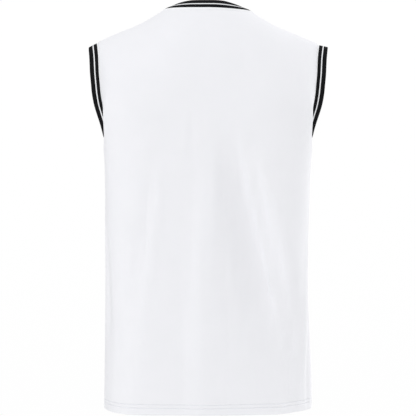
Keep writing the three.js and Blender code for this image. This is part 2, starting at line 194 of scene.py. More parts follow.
def curve_weights(knots: np.ndarray, places: np.ndarray, breaks: tuple[int, ...] = ()) -> np.ndarray:
    """Finds the weights that read a smooth curve through points at knots.

    Args:
        knots: The places of the curve's points.
        places: The places to read.
        breaks: Knots where the curve may turn sharply.

    Returns:
        A row of weights for each place, one for each knot.
    """
    stops = sorted({0, *breaks, len(knots) - 1})
    out = np.zeros((len(places), len(knots)))
    for n, place in enumerate(places):
        i = int(np.clip(np.searchsorted(knots, place, "right") - 1, 0, len(knots) - 2))
        low = max(s for s in stops if s <= i)
        high = min(s for s in stops if s > i)
        span = knots[i + 1] - knots[i]
        t = (place - knots[i]) / span
        out[n, i] += 2 * t**3 - 3 * t**2 + 1
        out[n, i + 1] += 3 * t**2 - 2 * t**3
        out[n] += span * (t**3 - 2 * t**2 + t) * slope_weights(knots, i, low, high)
        out[n] += span * (t**3 - t**2) * slope_weights(knots, i + 1, low, high)
    return out


def lengths(points: np.ndarray) -> np.ndarray:
    """Gives the length along a line of points, up to each of them."""
    return np.concatenate([[0.0], np.cumsum(np.linalg.norm(np.diff(points, axis=0), axis=1))])


def unit(vectors: np.ndarray) -> np.ndarray:
    """Scales vectors to length 1."""
    return vectors / np.maximum(np.linalg.norm(vectors, axis=-1, keepdims=True), TINY)


def surface_normals(points: np.ndarray) -> np.ndarray:
    """Gives the direction square to a grid of points, at each of them."""
    along = np.gradient(points, axis=1)
    across = np.gradient(points, axis=0)
    return unit(np.cross(along, across))


class WallNet:
    """The outer face of a packed wall, read as rows of points in millimetres."""

    RIM_ANGLE = math.radians(50)
    SAME_POINT = 1e-5
    HEM_REACH = 0.5 * METRES
    UNDERARM = -250.0 * METRES

    def __init__(self, node: bpy.types.Object) -> None:
        """Merges a copy of the node's loose triangles.

        Args:
            node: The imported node.
        """
        self.bm = bmesh.new()
        self.bm.from_mesh(node.data)
        bmesh.ops.remove_doubles(self.bm, verts=self.bm.verts, dist=self.SAME_POINT)

    def panel(self) -> np.ndarray:
        """Follows a panel's outer face from its hem to its neck and shoulders.

        Returns:
            Points in millimetres, row by row, from the wearer's right to the left.
        """
        low = min(v.co.z for v in self.bm.verts)
        hem = {v for v in self.bm.verts if v.co.z < low + self.HEM_REACH}
        row = sorted((v for v in hem if self._faces_out(v)), key=lambda v: v.co.x)
        (right, left), inner = zip(*[self._side_edge(sign) for sign in (-1, 1)])
        rows, taken = [row], hem.union(*inner)
        ahead = self._ahead(row, taken)
        bends = [self._edge(row[n], ahead[n]).calc_face_angle() for n in (0, -1)]
        from_right = bends[0] < bends[1]
        while True:
            ahead = self._ahead(row, taken)
            if from_right:
                ahead.insert(0, self._end(row[0], ahead[0], row[1]))
            else:
                ahead.append(self._end(row[-1], ahead[-1], row[-2]))
            if len(rows) < len(right):
                ahead[0], ahead[-1] = right[len(rows)], left[len(rows)]
            rows.append(ahead)
            taken.update(ahead)
            row = ahead
            if np.mean([self._edge(a, b).calc_face_angle() for a, b in zip(row, row[1:])]) > self.RIM_ANGLE:
                return self._points(rows)

    @staticmethod
    def _faces_out(vert: bmesh.types.BMVert) -> bool:
        """Tells a corner of the hem's outer edge from one of its inner edge."""
        sides = [face.normal for face in vert.link_faces if face.normal.z > -0.5]
        return sum(n.x * vert.co.x + n.y * vert.co.y for n in sides) > 0

    def _ahead(self, row: list, taken: set) -> list:
        """Gives, for each step of a row, the free corner of the triangle on its far side."""
        out = []
        for a, b in zip(row, row[1:]):
            corners = [v for face in self._edge(a, b).link_faces for v in face.verts]
            out.append(next(v for v in corners if v not in taken and v not in (a, b)))
        return out

    def _side_edge(self, sign: int) -> tuple[list, list]:
        """Gives the outer and the inner corners of a panel's edge below the underarm, from the hem up."""
        near = min(abs(v.co.y) for v in self.bm.verts) + self.SAME_POINT
        edge = [v for v in self.bm.verts if abs(v.co.y) < near and v.co.x * sign > 0]
        edge = sorted((v for v in edge if v.co.z < self.UNDERARM), key=lambda v: v.co.z)
        pairs = [sorted(pair, key=lambda v: -abs(v.co.x)) for pair in zip(edge[::2], edge[1::2])]
        return [outer for outer, _ in pairs], [inner for _, inner in pairs]

    @staticmethod
    def _edge(a: bmesh.types.BMVert, b: bmesh.types.BMVert) -> bmesh.types.BMEdge:
        """Gives the edge between two corners."""
        return next(edge for edge in a.link_edges if edge.other_vert(a) is b)

    def _end(self, corner: bmesh.types.BMVert, ahead: bmesh.types.BMVert, beside: bmesh.types.BMVert):
        """Gives the third corner of the triangle that lies past the line from corner to ahead."""
        known = (corner, ahead, beside)
        return next(v for f in self._edge(corner, ahead).link_faces for v in f.verts if v not in known)

    def ring(self, start: Callable, second: Callable) -> np.ndarray:
        """Follows a ring's outer face from its longer rim to its shorter one.

        Args:
            start: The rim's corner with the least value of this function comes first.
            second: Of its two neighbours on the rim, the one with the least value comes second.

        Returns:
            Points in millimetres, row by row. Each row ends where it starts.
        """
        bmesh.ops.join_triangles(
            self.bm,
            faces=self.bm.faces,
            angle_face_threshold=math.radians(60),
            angle_shape_threshold=math.radians(179),
            topology_influence=1.5,
        )
        self._keep_outer_face()
        rows = [self._longer_rim(start, second)]
        taken = set(rows[0])
        while True:
            row = rows[-1]
            new = [v for v in self._near(row[0]) if v not in taken]
            if not new:
                return self._points([row + row[:1] for row in rows])
            for beside in row[1:]:
                shared = self._near(new[-1]) & self._near(beside)
                new.append(next(v for v in shared if v not in taken))
            rows.append(new)
            taken.update(new)

    def _keep_outer_face(self) -> None:
        """Deletes all but the largest stretch of faces that no sharp edge crosses."""
        left = set(self.bm.faces)
        patches = []
        while left:
            patch = {left.pop()}
            waiting = list(patch)
            while waiting:
                for edge in waiting.pop().edges:
                    if edge.calc_face_angle(math.pi) > self.RIM_ANGLE:
                        continue
                    new = [face for face in edge.link_faces if face in left]
                    left.difference_update(new)
                    patch.update(new)
                    waiting += new
            patches.append(patch)
        outer = max(patches, key=lambda patch: sum(face.calc_area() for face in patch))
        bmesh.ops.delete(self.bm, geom=[f for f in self.bm.faces if f not in outer], context="FACES")

    def _longer_rim(self, start: Callable, second: Callable) -> list:
        """Gives the longer of the outer face's two rims, as a list of corners in order."""
        left = {v for v in self.bm.verts if v.is_boundary}
        rims = []
        while left:
            rim = [left.pop()]
            while True:
                ahead = [e.other_vert(rim[-1]) for e in rim[-1].link_edges if e.is_boundary]
                ahead = [v for v in ahead if v in left]
                if not ahead:
                    break
                left.remove(ahead[0])
                rim.append(ahead[0])
            rims.append(rim)
        rim = max(rims, key=lambda r: sum((a.co - b.co).length for a, b in zip(r, r[1:])))
        n = rim.index(min(rim, key=start))
        rim = rim[n:] + rim[:n]
        return rim if second(rim[1]) <= second(rim[-1]) else rim[:1] + rim[:0:-1]

    @staticmethod
    def _near(vert: bmesh.types.BMVert) -> set:
        """Gives the corners that share an edge with one."""
        return {edge.other_vert(vert) for edge in vert.link_edges}

    @staticmethod
    def _points(rows: list) -> np.ndarray:
        """Turns rows of corners into points in millimetres."""
        return np.array([[v.co[:] for v in row] for row in rows]) / METRES

    def free(self) -> None:
        """Drops the working mesh."""
        self.bm.free()


def object_from(bm: bmesh.types.BMesh, name: str) -> bpy.types.Object:
    """Makes an object of the scene from a working mesh, and drops the working mesh."""
    mesh = bpy.data.meshes.new(name)
    bm.to_mesh(mesh)
    bm.free()
    piece = bpy.data.objects.new(name, mesh)
    bpy.context.scene.collection.objects.link(piece)
    return piece


def grid_object(
    name: str, points: np.ndarray, uv: np.ndarray, closed_rows: bool = False
) -> bpy.types.Object:
    """Makes an object from a grid of points.

    Args:
        name: The piece's name.
        points: Rows of points in millimetres.
        uv: For each point, its lengths along and across the cloth in millimetres.
        closed_rows: Whether the grid closes on itself both ways, as a band does.

    Returns:
        The new object, in metres, at the origin.
    """
    rows, columns = points.shape[:2]
    bm = bmesh.new()
    bmesh.ops.create_grid(bm, x_segments=columns - 1, y_segments=rows - 1, size=1.0)
    piece = object_from(bm, name)
    mesh = piece.data
    mesh.vertices.foreach_set("co", (points * METRES).astype(np.float32).ravel())
    corners = np.empty(len(mesh.loops), dtype=np.int32)
    mesh.loops.foreach_get("vertex_index", corners)
    layer = mesh.uv_layers.new(name="cloth")
    layer.data.foreach_set("uv", (uv.reshape(-1, 2)[corners] * METRES).astype(np.float32).ravel())
    if closed_rows:
        bm = bmesh.new()
        bm.from_mesh(mesh)
        bmesh.ops.remove_doubles(bm, verts=bm.verts, dist=1e-7)
        bmesh.ops.recalc_face_normals(bm, faces=bm.faces)
        bm.to_mesh(mesh)
        bm.free()
    mesh.update()
    return piece


def finish_mesh(piece: bpy.types.Object, sharp_angle: float = 50.0) -> None:
    """Applies a piece's modifiers and shades it smooth, but for its cut edges.

    Args:
        piece: The piece.
        sharp_angle: The angle in degrees past which an edge stays sharp.
    """
    bpy.context.view_layer.update()
    shaped = piece.evaluated_get(bpy.context.evaluated_depsgraph_get())
    mesh = bpy.data.meshes.new_from_object(shaped)
    mesh.name = piece.name
    piece.modifiers.clear()
    piece.data = mesh
    mesh.shade_smooth()
    mesh.set_sharp_from_angle(angle=math.radians(sharp_angle))


@dataclass(frozen=True)
class Crease:
    """A soft ridge or trough in the cloth, along a line that starts at its top.

    Lengths are in millimetres. The line's points are (across, height): across is x on the back and the
    front, and y on the sides. rise lifts the cloth, and is negative for a trough. plus and minus are how far
    it reaches towards higher and lower values of across. narrow is its width at its top, as a share of that
    at its foot. grow and fade are the shares of its length over which it rises at its top and dies at its
    foot.
    """

    side: Side
    line: tuple[tuple[float, float], ...]
    rise: float
    plus: float
    minus: float
    narrow: float = 0.5
    grow: float = 0.45
    fade: float = 0.25

    SAMPLES = 40
    TURNED = (0.15, 0.75)

    def lift(self, points: np.ndarray, normals: np.ndarray) -> np.ndarray:
        """Works out how far the crease moves the cloth outwards.

        Args:
            points: Grid of points in millimetres.
            normals: Outward directions there.

        Returns:
            One height for each point.
        """
        axis, sign = self.side.value
        across = points[..., 0] if axis == "y" else points[..., 1]
        facing = normals[..., 1] if axis == "y" else normals[..., 0]
        spots = np.stack([across, points[..., 2]], axis=-1).reshape(-1, 2)
        hand = np.array(self.line, dtype=float)
        knots = lengths(hand)
        path = curve_weights(knots, np.linspace(0, knots[-1], self.SAMPLES)) @ hand
        best = np.full(len(spots), np.inf)
        offset = np.zeros(len(spots))
        share = np.zeros(len(spots))
        run = lengths(path)
        for i in range(len(path) - 1):
            step = path[i + 1] - path[i]
            away = spots - path[i]
            t = np.clip(away @ step / (step @ step), 0, 1)
            gap = np.linalg.norm(away - t[:, None] * step, axis=1)
            nearer = gap < best
            turn = step[0] * away[:, 1] - step[1] * away[:, 0]
            best = np.where(nearer, gap, best)
            offset = np.where(nearer, np.sign(turn) * gap, offset)
            share = np.where(nearer, (run[i] + t * (run[i + 1] - run[i])) / run[-1], share)
        wide = self.narrow + (1 - self.narrow) * share
        reach = np.where(offset > 0, self.plus, self.minus) * wide
        near = np.clip(1 - (offset / reach) ** 2, 0, 1) ** 2
        along = smooth(share, 0, self.grow)
        if self.fade:
            along = along * (1 - smooth(share, 1 - self.fade, 1))
        turned = smooth(facing.reshape(-1) * sign, *self.TURNED)
        return (self.rise * near * along * turned).reshape(across.shape)


@dataclass(frozen=True)
class KnitFinish:
    """White polyester interlock knit: bright and matt, with fine upright wales and a faint soft sheen.

    Lengths are in millimetres. A real wale of this knit is about 0.9 mm wide, which no picture of a whole
    jersey shows, so it is drawn at 1.6 mm, as coarse as it needs to be seen in a close view.
    """

    name: str = "white_polyester_interlock_knit"
    colour: str = "#f5f5f9"
    # Painted shade: the darker colour of the hollows between the wales, also reached where the random mottle is
    # low.
    shade_and_mottle_colour: str = "#e8e9ed"
    wale: float = 1.6
    course: float = 1.3
    relief: float = 0.12
    mottle: float = 55.0
    roughness: float = 0.82

    def make(self) -> bpy.types.Material:
        """Builds the material. The wales' relief gives the cloth its fine upright grain. The colour is darker in
        the hollows between the wales, which is painted shade, and a slow mottle varies its tone at random.

        Returns:
            The material.
        """
        material, tree = new_material(self.name)
        cloth = add_node(tree, "ShaderNodeUVMap", {"uv_map": "cloth"})
        part = add_node(tree, "ShaderNodeSeparateXYZ", links={0: cloth.outputs[0]})
        wale = ridges(tree, part.outputs["X"], self.wale)
        slant = add_node(
            tree, "ShaderNodeMath", {"operation": "MULTIPLY", 1: self.course * METRES * 0.5}, {0: wale}
        )
        stagger = add_node(
            tree, "ShaderNodeMath", {"operation": "ADD"}, {0: part.outputs["Y"], 1: slant.outputs[0]}
        )
        course = ridges(tree, stagger.outputs[0], self.course)
        height = add_node(tree, "ShaderNodeMath", {"operation": "MULTIPLY"}, {0: wale, 1: course})
        place = add_node(tree, "ShaderNodeTexCoord")
        mottle = add_node(
            tree,
            "ShaderNodeTexNoise",
            {"Scale": 1 / (self.mottle * METRES), "Detail": 2.0},
            {"Vector": place.outputs["Object"]},
        )
        # Painted shade: low places between the wales take the darker colour, and the mottle adds random tone.
        shade = add_node(
            tree, "ShaderNodeMath", {"operation": "MULTIPLY_ADD", 1: 0.5, 2: 0.2}, {0: height.outputs[0]}
        )
        patch = add_node(
            tree,
            "ShaderNodeMath",
            {"operation": "MULTIPLY_ADD", 1: 0.3, "use_clamp": True},
            {0: mottle.outputs[0], 2: shade.outputs[0]},
        )
        colour = add_node(
            tree,
            "ShaderNodeMix",
            {"data_type": "RGBA", 6: linear(self.shade_and_mottle_colour), 7: linear(self.colour)},
            {0: patch.outputs[0]},
        )
        relief = {"Strength": 0.35, "Distance": self.relief * METRES}
        bump = add_node(tree, "ShaderNodeBump", relief, {"Height": height.outputs[0]})
        shader = add_node(
            tree,
            "ShaderNodeBsdfPrincipled",
            {
                "Roughness": self.roughness,
                "Specular IOR Level": 0.25,
                "Sheen Weight": 0.12,
                "Sheen Roughness": 0.5,
            },
            {"Base Color": colour.outputs[2], "Normal": bump.outputs[0]},
        )
        add_node(tree, "ShaderNodeOutputMaterial", links={"Surface": shader.outputs[0]})
        return material


@dataclass(frozen=True)
class RibFinish:
    """Striped 1x1 rib knit: matt black and white yarn in stripes that follow the opening's edge.

    Lengths are in millimetres. stripes are the places where the colour changes, from the opening's edge to
    the seam, and start with black.
    """

    name: str = "black_and_white_striped_rib"
    black: str = "#101113"
    white: str = "#f3f4f6"
    stripes: tuple[float, ...] = (7.1, 8.9, 15.1)
    width: float = 18.6
    course: float = 1.0
    relief: float = 0.1
    roughness: float = 0.9

    def make(self) -> bpy.types.Material:
        """Builds the material. The courses' relief gives the ribs their small cross lines.

        Returns:
            The material.
        """
        material, tree = new_material(self.name)
        cloth = add_node(tree, "ShaderNodeUVMap", {"uv_map": "cloth"})
        part = add_node(tree, "ShaderNodeSeparateXYZ", links={0: cloth.outputs[0]})
        whole = {"operation": "DIVIDE", 1: self.width * METRES}
        across = add_node(tree, "ShaderNodeMath", whole, {0: part.outputs["Y"]})
        ramp = add_node(tree, "ShaderNodeValToRGB", links={0: across.outputs[0]})
        ramp.color_ramp.interpolation = "CONSTANT"
        yarns = [linear(self.black), linear(self.white)]
        ramp.color_ramp.elements[0].color = yarns[0]
        ramp.color_ramp.elements[1].position = self.stripes[0] / self.width
        ramp.color_ramp.elements[1].color = yarns[1]
        for n, place in enumerate(self.stripes[1:]):
            ramp.color_ramp.elements.new(place / self.width).color = yarns[n % 2]
        relief = {"Strength": 0.3, "Distance": self.relief * METRES}
        height = ridges(tree, part.outputs["Y"], self.course)
        bump = add_node(tree, "ShaderNodeBump", relief, {"Height": height})
        shader = add_node(
            tree,
            "ShaderNodeBsdfPrincipled",
            {
                "Roughness": self.roughness,
                "Specular IOR Level": 0.15,
                "Sheen Weight": 0.03,
                "Sheen Roughness": 0.4,
            },
            {"Base Color": ramp.outputs[0], "Normal": bump.outputs[0]},
        )
        add_node(tree, "ShaderNodeOutputMaterial", links={"Surface": shader.outputs[0]})
        return material


@dataclass(frozen=True)
class ThreadFinish:
    """White polyester sewing thread: smooth and a little shinier than the knit. Its colour is a grey below white,
    painted shade of the groove it lies in.
    """

    name: str = "white_polyester_thread"
    # Painted shade: the white thread is given a grey, for the shade of its groove.
    colour: str = "#d4d8df"
    twist: float = 0.5
    relief: float = 0.05
    roughness: float = 0.55

    def make(self) -> bpy.types.Material:
        """Builds the material. The twist's fine bands give the thread its rope look in a close view.

        Returns:
            The material.
        """
        material, tree = new_material(self.name)
        place = add_node(tree, "ShaderNodeTexCoord")
        twist = add_node(
            tree,
            "ShaderNodeTexWave",
            {"bands_direction": "DIAGONAL", "Scale": 1 / (self.twist * METRES * 20)},
            {"Vector": place.outputs["Object"]},
        )
        relief = {"Strength": 0.2, "Distance": self.relief * METRES}
        bump = add_node(tree, "ShaderNodeBump", relief, {"Height": twist.outputs[1]})
        shader = add_node(
            tree,
            "ShaderNodeBsdfPrincipled",
            {"Base Color": linear(self.colour), "Roughness": self.roughness, "Specular IOR Level": 0.35},
            {"Normal": bump.outputs[0]},
        )
        add_node(tree, "ShaderNodeOutputMaterial", links={"Surface": shader.outputs[0]})
        return material


@dataclass
class Panel:
    """A front or back panel: one cut piece of knit with a turned hem, and the stitches that hold the hem.

    Lengths are in millimetres.
    """

    node: str
    name: str
    side: Side
    neck_columns: tuple[int, int]
    creases: tuple[Crease, ...]
    cut_width: float
    cut_length: float

    seam_gap: float = 0.3
    touch: float = 0.02
    underarm_row: int = 16
    cloth: float = 0.75
    layer_gap: float = 0.2
    hem_depth: float = 20.0
    stitch_rows: tuple[float, float] = (12.0, 18.0)
    stitch_length: float = 2.5
    stitch_pitch: float = 3.0
    thread_sink: float = 0.06
    slant: float = 0.5
    groove_depth: float = 0.8
    groove_half: float = 1.3
    seam_roll: float = 0.8
    seam_roll_reach: float = 2.2
    pucker: float = 0.35
    pucker_length: float = 11.0
    pucker_reach: float = 14.0
    wave: float = 0.35
    crease_free: float = 42.0
    row_step: float = 6.0
    column_parts: int = 6

    KNOT_COLUMNS = (4, 18, -5)
    GIRTH_ROW = 2
    WAVE = (46.0, 150.0)
    FINE_WAVE = (17.0, 40.0)
    FINE_START = 7.0
    FINE_SHARE = 0.3
    EDGE_STEPS = (0.6, 1.5, 3.0)
    HEM_HEIGHTS = (2, 4.5, 8, 10, 10.8, 11.4, 12, 12.6, 13.2, 14, 16, 16.8, 17.4, 18, 18.6, 19.2, 20, 22)
    FOLD_ANGLES = (150, 120, 90, 60, 30)

    def build(self, frame: dict) -> None:
        """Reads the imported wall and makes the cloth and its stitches.

        Args:
            frame: The loaded frame.
        """
        reader = WallNet(frame["nodes"][self.node])
        net = reader.panel()
        reader.free()
        sign = self.side.value[1]
        net[..., 1] -= sign * (self.seam_gap / 2 - self.touch)
        self._lay(net, sign)
        self.cloth_piece = self._cloth_object()
        self.stitch_piece = self._stitch_object()

    def _lay(self, net: np.ndarray, sign: int) -> None:
        """Lays the cloth's rows and columns on the net.

        Args:
            net: The wall's points.
            sign: The panel's direction along y.
        """
        columns = net.shape[1]
        self.middle = columns // 2
        self.knots = np.mean([lengths(net[:, c]) for c in self.KNOT_COLUMNS], axis=0)
        spread = 1.0 / self.column_parts
        inner = np.arange(0, columns - 1 + spread / 2, spread)
        girth = np.mean(np.linalg.norm(np.diff(net[self.GIRTH_ROW], axis=0), axis=1))
        steps = np.array(self.EDGE_STEPS) / girth
        self.columns = np.unique(np.concatenate([inner, steps, columns - 1 - steps]).round(5))
        lines = [self._across(row) for row in net]
        heights = self._heights()
        offsets = [offset for _, offset in heights]
        self.places = np.array([place for place, _ in heights])
        down = curve_weights(self.knots, self.places, (self.underarm_row,))
        self.base = np.einsum("ri,ick->rck", down, lines, optimize=True)
        self.normals = surface_normals(self.base[self.inside_rows :])
        self.sign = sign
        flip = np.sign(np.mean(self.normals[..., 1]) * sign)
        self.normals *= flip
        self.normals = np.concatenate([self._hem_normals(), self.normals])
        self.offsets = np.array(offsets)[:, None] * np.ones(len(self.columns))
        lift = self._lift()
        self.points = self.base + self.normals * (self.offsets + lift)[..., None]

    def _across(self, row: np.ndarray) -> np.ndarray:
        """Reads a row of the net at the cloth's columns, along a curve in the row's own lengths."""
        run = lengths(row)
        places = np.interp(self.columns, np.arange(len(row)), run)
        return curve_weights(run, places, self.neck_columns) @ row

    def _heights(self) -> list[tuple[float, float]]:
        """Lists the cloth's rows, from the hem's raw edge inside, round its fold, and up the outside.

        Returns:
            For each row, its length up the panel and its offset from the outer surface.
        """
        depth = 2 * self.cloth + self.layer_gap
        radius = depth / 2
        inside = [h for h in (self.hem_depth, *reversed(self.HEM_HEIGHTS)) if h <= self.hem_depth]
        rows = [(h, -depth) for h in dict.fromkeys(inside)]
        rows.append((radius, -depth))
        for angle in self.FOLD_ANGLES:
            turn = math.radians(angle)
            rows.append((radius - radius * math.sin(turn), -radius + radius * math.cos(turn)))
        self.inside_rows = len(rows)
        outside = [radius, *self.HEM_HEIGHTS]
        place = outside[-1]
        stops = [k for k in self.knots if k > place + self.row_step]
        for stop in stops:
            parts = max(1, math.ceil((stop - place) / self.row_step))
            outside += [place + (stop - place) * n / parts for n in range(1, parts + 1)]
            place = stop
        top = outside[-1]
        outside = [h for h in outside if h < top - self.EDGE_STEPS[-1] - 1 or h == top]
        outside += [top - step for step in self.EDGE_STEPS]
        rows += [(h, 0.0) for h in sorted(set(outside))]
        return rows

    def _hem_normals(self) -> np.ndarray:
        """Gives the directions of the rows of the turned-up layer, read from the outer surface."""
        outer = self.places[self.inside_rows :]
        nearest = [int(np.argmin(np.abs(outer - p))) for p in self.places[: self.inside_rows]]
        return self.normals[nearest]

    def _lift(self) -> np.ndarray:
        """Adds up the creases, the waves of the cloth, its seams and its hem's grooves.

        Returns:
            How far each point moves outwards.
        """
        lift = np.zeros(self.base.shape[:2])
        seams = self._seam_distance()
        for crease in self.creases:
            lift += crease.lift(self.base, self.normals) * smooth(seams, 0, self.crease_free)
        lift += self._waves()
        rolled = np.clip(1 - seams / self.seam_roll_reach, 0, 1)
        lift -= self.seam_roll * rolled**2
        lift += self._band_puckers()
        up = self.places[:, None] * np.ones(len(self.columns))
        for row in self.stitch_rows:
            near = np.clip(1 - ((up - row) / self.groove_half) ** 2, 0, 1) ** 2
            lift -= self.groove_depth * near * (self.offsets > -self.cloth)
        return lift

    def _waves(self) -> np.ndarray:
        """Gives the slow uneven waves that no hanging knit is without."""
        out = np.zeros(self.base.shape[:2])
        (wide, tall), (narrow, low) = self.WAVE, self.FINE_WAVE
        for r, row in enumerate(self.base):
            for c, (x, y, z) in enumerate(row):
                spot = Vector((x / wide, y / wide, z / tall))
                fine = Vector((x / narrow, y / narrow, z / low + self.FINE_START))
                out[r, c] = noise.noise(spot) * self.wave + noise.noise(fine) * self.wave * self.FINE_SHARE
        return out

    def _seam_distance(self) -> np.ndarray:
        """Gives each point's distance from the panel's nearest sewn edge."""
        left = np.linalg.norm(self.base - self.base[:, :1], axis=-1)
        right = np.linalg.norm(self.base - self.base[:, -1:], axis=-1)
        top = np.linalg.norm(self.base - self.base[-1:], axis=-1)
        return np.minimum(np.minimum(left, right), top)

    def _band_puckers(self) -> np.ndarray:
        """Gives the small gathers that the bands' seams draw into the panel."""
        first = int(np.searchsorted(self.places[self.inside_rows :], self.knots[self.underarm_row]))
        first += self.inside_rows
        low, high = [int(np.searchsorted(self.columns, c)) for c in self.neck_columns]
        edges = [self.base[first:, 0], self.base[first:, -1], self.base[-1, low : high + 1]]
        out = np.zeros(self.base.shape[:2])
        spots = self.base.reshape(-1, 3)
        for n, edge in enumerate(edges):
            gaps = np.linalg.norm(spots[:, None] - edge[None], axis=2)
            nearest = gaps.argmin(axis=1)
            away = gaps.min(axis=1)
            along = lengths(edge)[nearest] * 2 * math.pi / self.pucker_length
            uneven = np.sin(along + 1.7 * np.sin(along * 0.37 + n)) * (0.65 + 0.35 * np.sin(along * 0.23 + 2 * n))
            out += (self.pucker * uneven * np.exp(-((away / self.pucker_reach) ** 2) * 3)).reshape(out.shape)
        return out

    def _cloth_object(self) -> bpy.types.Object:
        """Makes the cloth's mesh, with its thickness.

        Returns:
            The cloth.
        """
        middle = int(np.searchsorted(self.columns, self.middle))
        along = np.array([lengths(row) for row in self.points])
        along -= along[:, middle : middle + 1]
        across = np.array([lengths(self.points[:, c]) for c in range(self.points.shape[1])]).T
        points, uv = self.points, np.stack([along, across], axis=-1)
        if self.sign > 0:
            points, uv = points[:, ::-1], uv[:, ::-1]
        piece = grid_object(self.name, points, uv)
        thick = piece.modifiers.new("cloth thickness", "SOLIDIFY")
        thick.thickness = self.cloth * METRES
        thick.offset = -1
        finish_mesh(piece)
        return piece

    def _stitch_object(self) -> bpy.types.Object:
        """Makes the hem's stitches: two rows of needle thread outside, and looper thread across them inside.

        Returns:
            The stitches.
        """
        low, high = [self._stitch_line(height, outside=True) for height in self.stitch_rows]
        stitches = []
        for line in (low, high):
            stitches += self._stitch_row(line, line, self.stitch_length, Thread.NEEDLE)
        under, over = [self._stitch_line(height, outside=False) for height in self.stitch_rows]
        stitches += self._stitch_row(under, over, 0.0, Thread.LOOPER)
        stitches += self._stitch_row(over, under, 0.0, Thread.LOOPER)
        bm = bmesh.new()
        bmesh.ops.create_uvsphere(bm, u_segments=6, v_segments=5, radius=1.0)
        bmesh.ops.rotate(bm, verts=bm.verts, matrix=Matrix.Rotation(math.pi / 2, 3, "Y"))
        piece = object_from(bm, f"{self.name}_hem_stitches")
        one = np.array([v.co[:] for v in piece.data.vertices])
        copies = piece.modifiers.new("one for each stitch", "ARRAY")
        copies.count = len(stitches)
        copies.use_relative_offset = False
        finish_mesh(piece)
        places = np.array([one @ axes.T + centre for centre, axes in stitches])
        piece.data.vertices.foreach_set("co", (places * METRES).astype(np.float32).ravel())
        piece.data.update()
        return piece

    def _stitch_line(self, height: float, outside: bool) -> tuple[np.ndarray, np.ndarray]:
        """Finds the line along the hem that a row of stitches lies on.

        Args:
            height: The row's height above the hem's edge.
            outside: Whether it lies on the outer layer, and not on the turned-up one.

        Returns:
            The line's points, and the directions out of the cloth there.
        """
        first, last = (self.inside_rows, len(self.places)) if outside else (0, self.inside_rows)
        row = first + int(np.argmin(np.abs(self.places[first:last] - height)))
        sign = 1.0 if outside else -1.0
        depth = self.thread_sink if outside else -self.cloth
        return self.points[row] + self.normals[row] * depth, sign * self.normals[row]

    def _stitch_row(self, first: tuple, second: tuple, length: float, thread: Thread) -> list:
        """Lays a row of stitches from one line of the hem to another, or along one.

        Args:
            first: The line's points and directions that the stitches start on.
            second: Those that they end on.
            length: A stitch's length along its line, or 0 for one pitch across two lines.
            thread: The thread.

        Returns:
            For each stitch, its middle and its three half sizes as columns.
        """
        run = lengths(first[0])
        count = int(run[-1] // self.stitch_pitch)
        pitch = run[-1] / count
        half = (length or pitch * self.slant) / 2
        wide, deep = thread.value
        out = []
        for n in range(count):
            at = (n + 0.5) * pitch
            a, b = [
                np.array([np.interp(place, run, line[0][:, k]) for k in range(3)])
                for place, line in ((at - half, first), (at + half, second))
            ]
            lift = unit(np.array([np.interp(at, run, first[1][:, k]) for k in range(3)]))
            along = b - a
            side = unit(np.cross(lift, along))
            out.append(((a + b) / 2, np.column_stack([along / 2, side * wide / 2, lift * deep / 2])))
        return out

    def dress(self, knit: bpy.types.Material, thread: bpy.types.Material) -> None:
        """Gives the panel its finishes and says what it is.

        Args:
            knit: The cloth's material.
            thread: The stitches' material.
        """
        self.cloth_piece.data.materials.append(knit)
        self.stitch_piece.data.materials.append(thread)
        for piece in (self.cloth_piece, self.stitch_piece):
            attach(piece, BODY)
            log.info("%s: %d faces", piece.name, len(piece.data.polygons))
        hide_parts(self.node)


